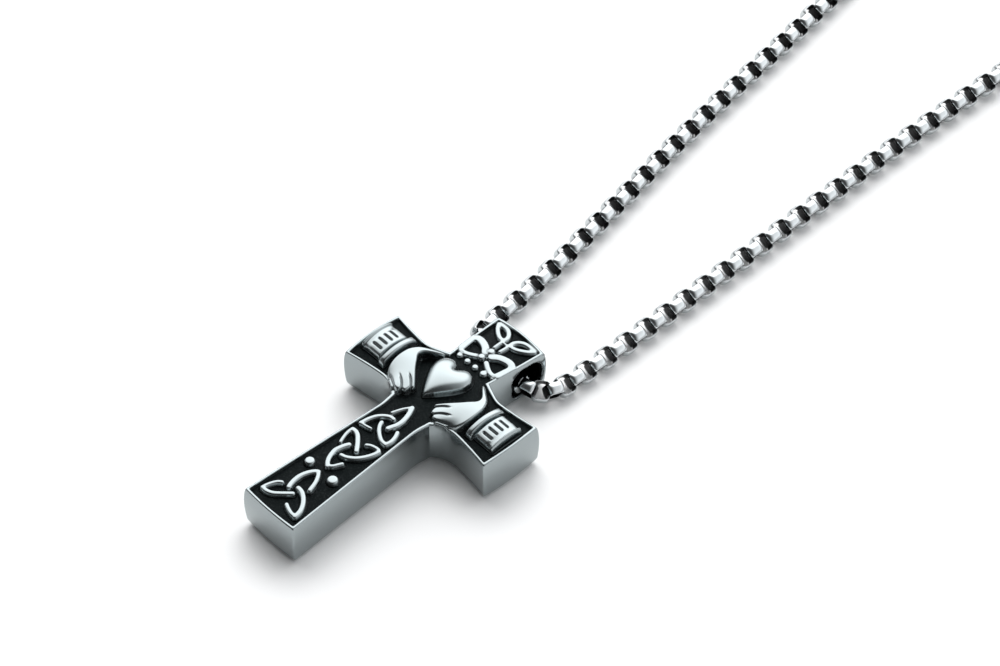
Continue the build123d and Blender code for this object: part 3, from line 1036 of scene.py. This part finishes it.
# Links: their pitch, two that are placed first, the chain's middle, and how each strand is turned
link_pitch = 1.8175
left_pitch = 1.79
left_opening = (-7.70, 16.9)
right_opening = (7.15, 18.84)
chain_middle = (0.0, 10.9)
left_roll = 120.0
right_roll = 60.0
roll_blend = 8.0
link_end_gap = 0.05
aim_reach = 0.8

# One link, a square ring of wide strip
link_half_length = 1.2
link_wall = 0.29
link_half_width = 0.8
link_turns = 36
link_roundness = 4.5
link_inner_roundness = 5
link_end_bow = 0.05
# Painted shade on a link, for the shade and dark reflections in its openings: ranges on its inner faces,
# on its ends, and where that on the ends gives way at the corners
link_inner_shade = (0.1, 0.7)
link_end_shade = (0.85, 0.95)
link_unshaded_corners = (0.72, 0.97)

# Section of the strip. Each row: share of the wall from inside out, and of the half width
strip_section = [
    (1, -0.8), (1, -0.4), (1, 0), (1, 0.4), (1, 0.8), (0.97, 0.92), (0.88, 1), (0.2, 1),
    (0.04, 0.92), (0, 0.7), (0, -0.7), (0.04, -0.92), (0.2, -1), (0.88, -1), (0.97, -0.92),
]


def route_line(points):
    """Points along the smooth line that the route's points control."""
    curve = bpy.data.curves.new("chain_line", "CURVE")
    curve.dimensions = "3D"
    curve.resolution_u = route_steps
    spline = curve.splines.new("NURBS")
    spline.points.add(len(points) - 1)
    for point, place in zip(spline.points, points):
        point.co = (*place, 1.0)
    spline.order_u = route_order
    spline.use_endpoint_u = True
    holder = bpy.data.objects.new("chain_line", curve)
    mesh = bpy.data.meshes.new_from_object(holder)
    line = np.array([v.co for v in mesh.vertices])
    bpy.data.meshes.remove(mesh)
    bpy.data.objects.remove(holder)
    bpy.data.curves.remove(curve)
    return line


def squareness(c, s, power):
    """How much farther out a rounded square is than a circle, in a direction."""
    return (abs(c) ** power + abs(s) ** power) ** (-1 / power)


def link_shape():
    """One link: its points, faces and painted shade, with its length along X and its ring in X and Y."""
    outer_b = chain_diameter / 2
    inner_t, inner_b = link_half_length - link_wall, outer_b - link_wall
    points = []
    for k in range(link_turns):
        angle = 2 * math.pi * (k + 0.5) / link_turns
        c, s = math.cos(angle), math.sin(angle)
        stretch = squareness(c, s, link_roundness)
        inner_stretch = squareness(c, s, link_inner_roundness)
        near = (inner_t * inner_stretch * c, inner_b * inner_stretch * s)
        for depth, share in strip_section:
            n = share * link_half_width
            far = (link_half_length * stretch * c * (1 - link_end_bow * share**2),
                   outer_b * stretch * s * math.sqrt(1 - (n / outer_b) ** 2))
            points.append((near[0] + (far[0] - near[0]) * depth,
                           near[1] + (far[1] - near[1]) * depth, n))
    points = np.array(points)
    count = len(strip_section)
    faces = []
    for k in range(link_turns):
        here, ahead = k * count, (k + 1) % link_turns * count
        for m in range(count):
            n = (m + 1) % count
            faces.append([here + m, ahead + m, ahead + n, here + n])
    depth = np.tile([d for d, _ in strip_section], link_turns)
    # Painted shade: the inner faces and the ends of the link are darkened, the corners left bright
    inner = 1 - smooth(*link_inner_shade, depth)
    on_end = smooth(*link_end_shade, np.abs(points[:, 0]))
    between_corners = 1 - smooth(*link_unshaded_corners, np.abs(points[:, 1]))
    return points, faces, np.maximum(inner, on_end * between_corners)


def chain_pieces(material):
    """Both strands of links, from the clasp round through the cross and back to the clasp."""
    line = route_line(left_route[::-1] + right_route)
    steps = np.linalg.norm(np.diff(line, axis=0), axis=1)
    line = line[np.concatenate([[True], steps > 1e-6])]
    run = np.concatenate([[0], np.cumsum(np.linalg.norm(np.diff(line, axis=0), axis=1))])
    total = run[-1]

    def place(s):
        return np.array([np.interp(s, run, line[:, axis]) for axis in range(3)])

    def run_at(spot):
        return run[int(np.argmin(np.hypot(line[:, 0] - spot[0], line[:, 1] - spot[1])))]

    left_at, right_at, middle = run_at(left_opening), run_at(right_opening), run_at(chain_middle)
    count = round((right_at - left_at) / link_pitch)
    ends = link_half_length + link_end_gap
    n_left = int((left_at - ends) / left_pitch)
    n_right = int((total - ends - right_at) / link_pitch)
    spots = [left_at - (left_at - ends) * k / n_left for k in range(n_left, 0, -1)]
    spots += [left_at + (right_at - left_at) * k / count for k in range(count + 1)]
    spots += [right_at + (total - ends - right_at) * k / n_right for k in range(1, n_right + 1)]
    first_right = n_left + count
    swap = 90.0 if count % 2 else 0.0
    shape, faces, dark = link_shape()
    out = {"left": [], "right": []}
    for index, s in enumerate(spots):
        ahead = unit(place(min(s + aim_reach, total)) - place(max(s - aim_reach, 0)))
        side = unit(np.cross(ahead, (0, 0, 1)))
        up = np.cross(side, ahead)
        blend = float(smooth(middle - roll_blend, middle + roll_blend, s))
        strand_roll = (left_roll - swap) * (1 - blend) + right_roll * blend
        roll = math.radians(strand_roll + 90.0 * ((first_right - index) % 2))
        normal = math.cos(roll) * side + math.sin(roll) * up
        turned = shape @ np.array([ahead, np.cross(normal, ahead), normal]) + place(s)
        out["left" if s < middle else "right"].append(turned)
    made = []
    for name, links in out.items():
        every = [[v + k * len(shape) for v in face] for k in range(len(links)) for face in faces]
        darks = np.tile(dark, len(links))
        made.append(make_mesh(f"chain_{name}", np.vstack(links), every, material, darks))
    return made


for piece in chain_pieces(chain_steel):
    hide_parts("chain")
    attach(piece, "root")

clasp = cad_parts["clasp"]
for slot in clasp.material_slots:
    slot.material = clasp_steel

# Floor
floor_reach = 1.5
paper_colour = (0.9, 0.9, 0.9, 1)
paper_roughness = 0.9


def paper_floor():
    """A plain sheet of matt paper under the part."""
    corners = [(sx * floor_reach, sy * floor_reach, 0) for sx, sy in ((-1, -1), (1, -1), (1, 1), (-1, 1))]
    mesh = bpy.data.meshes.new("floor")
    mesh.from_pydata(corners, [], [(0, 1, 2, 3)])
    paper = bpy.data.materials.new("paper")
    paper.use_nodes = True
    shader = paper.node_tree.nodes["Principled BSDF"]
    shader.inputs["Base Color"].default_value = paper_colour
    shader.inputs["Roughness"].default_value = paper_roughness
    mesh.materials.append(paper)
    return new_object("floor", mesh)


floor = paper_floor()

# Studio surroundings: which way their dark and bright sides lie, their level by how far a
# direction turns from away to toward the dark side, their strength by height, and a bright patch
dark_side = (0.1, -0.752, 0.652)
bright_side = (-0.49, 0.43, 0.758)
sky_levels = [
    (0.0, 0.556), (0.35, 1.0), (0.55, 0.806), (0.61, 0.667), (0.725, 0.417), (0.825, 0.25),
    (0.885, 0.097), (0.935, 0.056), (1.0, 0.042),
]
sky_tint = (0.97, 0.985, 1.0)
sky_low, sky_high = 0.02, 0.32
low_strength, high_strength = 0.25, 1.6
patch_from, patch_full = 0.66, 0.88
patch_strength = 2.0


def studio_sky():
    """The studio that the steel reflects."""
    world = bpy.data.worlds.new("studio")
    world.use_nodes = True
    sky = world.node_tree
    background = sky.nodes["Background"]
    direction = node(sky, "ShaderNodeTexCoord")

    def toward(side):
        facing = node(sky, "ShaderNodeVectorMath", operation="DOT_PRODUCT")
        facing.inputs[1].default_value = side
        wire(direction, "Generated", facing, 0)
        return facing

    turned = node(sky, "ShaderNodeMapRange", in_From_Min=-1.0)
    wire(toward(dark_side), "Value", turned, "Value")
    ramp = node(sky, "ShaderNodeValToRGB")
    while len(ramp.color_ramp.elements) < len(sky_levels):
        ramp.color_ramp.elements.new(0.5)
    for element, (position, level) in zip(ramp.color_ramp.elements, sky_levels):
        element.position = position
        element.color = (*(level * tint for tint in sky_tint), 1)
    wire(turned, "Result", ramp, "Fac")
    wire(ramp, "Color", background, "Color")
    split = node(sky, "ShaderNodeSeparateXYZ")
    wire(direction, "Generated", split, "Vector")
    rise = node(sky, "ShaderNodeMapRange", in_From_Min=sky_low, in_From_Max=sky_high,
                in_To_Min=low_strength, in_To_Max=high_strength)
    wire(split, "Z", rise, "Value")
    wire(rise, "Result", background, "Strength")
    patch = node(sky, "ShaderNodeMapRange", interpolation_type="SMOOTHSTEP",
                 in_From_Min=patch_from, in_From_Max=patch_full, in_To_Max=patch_strength)
    wire(toward(bright_side), "Value", patch, "Value")
    glow = node(sky, "ShaderNodeBackground")
    wire(patch, "Result", glow, "Strength")
    both = node(sky, "ShaderNodeAddShader")
    wire(background, "Background", both, 0)
    wire(glow, "Background", both, 1)
    wire(both, "Shader", sky.nodes["World Output"], "Surface")
    return world


bpy.context.scene.world = studio_sky()

# Light
key_toward = (-0.42, 0.40, 0.82)
key_distance = 0.9
key_size = 0.5
key_radiance = 2.5


def key_light():
    """A square light that lights the floor, unseen in the steel."""
    light = bpy.data.lights.new("key", "AREA")
    light.shape = "RECTANGLE"
    light.size, light.size_y = key_size, key_size
    light.energy = key_radiance * math.pi * key_size**2
    holder = new_object("key", light)
    direction = Vector(key_toward).normalized()
    holder.location = direction * key_distance
    holder.rotation_euler = direction.to_track_quat("Z", "Y").to_euler()
    holder.visible_glossy = False


key_light()

# Camera at the photograph's viewing angle: lens and sensor in millimetres, turns in degrees, and
# its place in the part's frame
camera_lens = 162.9
sensor_width = 36.0
camera_clip_start = 0.05
camera_azimuth = 47.705
camera_elevation = 48.309
camera_roll = -0.651
camera_place = (287.986, -251.624, 446.83)


def photo_camera():
    """The scene's camera."""
    data = bpy.data.cameras.new("camera")
    data.lens = camera_lens
    data.sensor_width = sensor_width
    data.clip_start = camera_clip_start

    def turn(degrees, axis):
        return Matrix.Rotation(math.radians(degrees), 4, axis)

    camera = new_object("camera", data)
    aim = turn(camera_azimuth, "Z") @ turn(90 - camera_elevation, "X") @ turn(camera_roll, "Z")
    camera.matrix_world = Matrix.Translation(Vector(camera_place) * MM) @ aim
    return camera


bpy.context.scene.camera = photo_camera()
bpy.context.scene.view_settings.view_transform = "Standard"
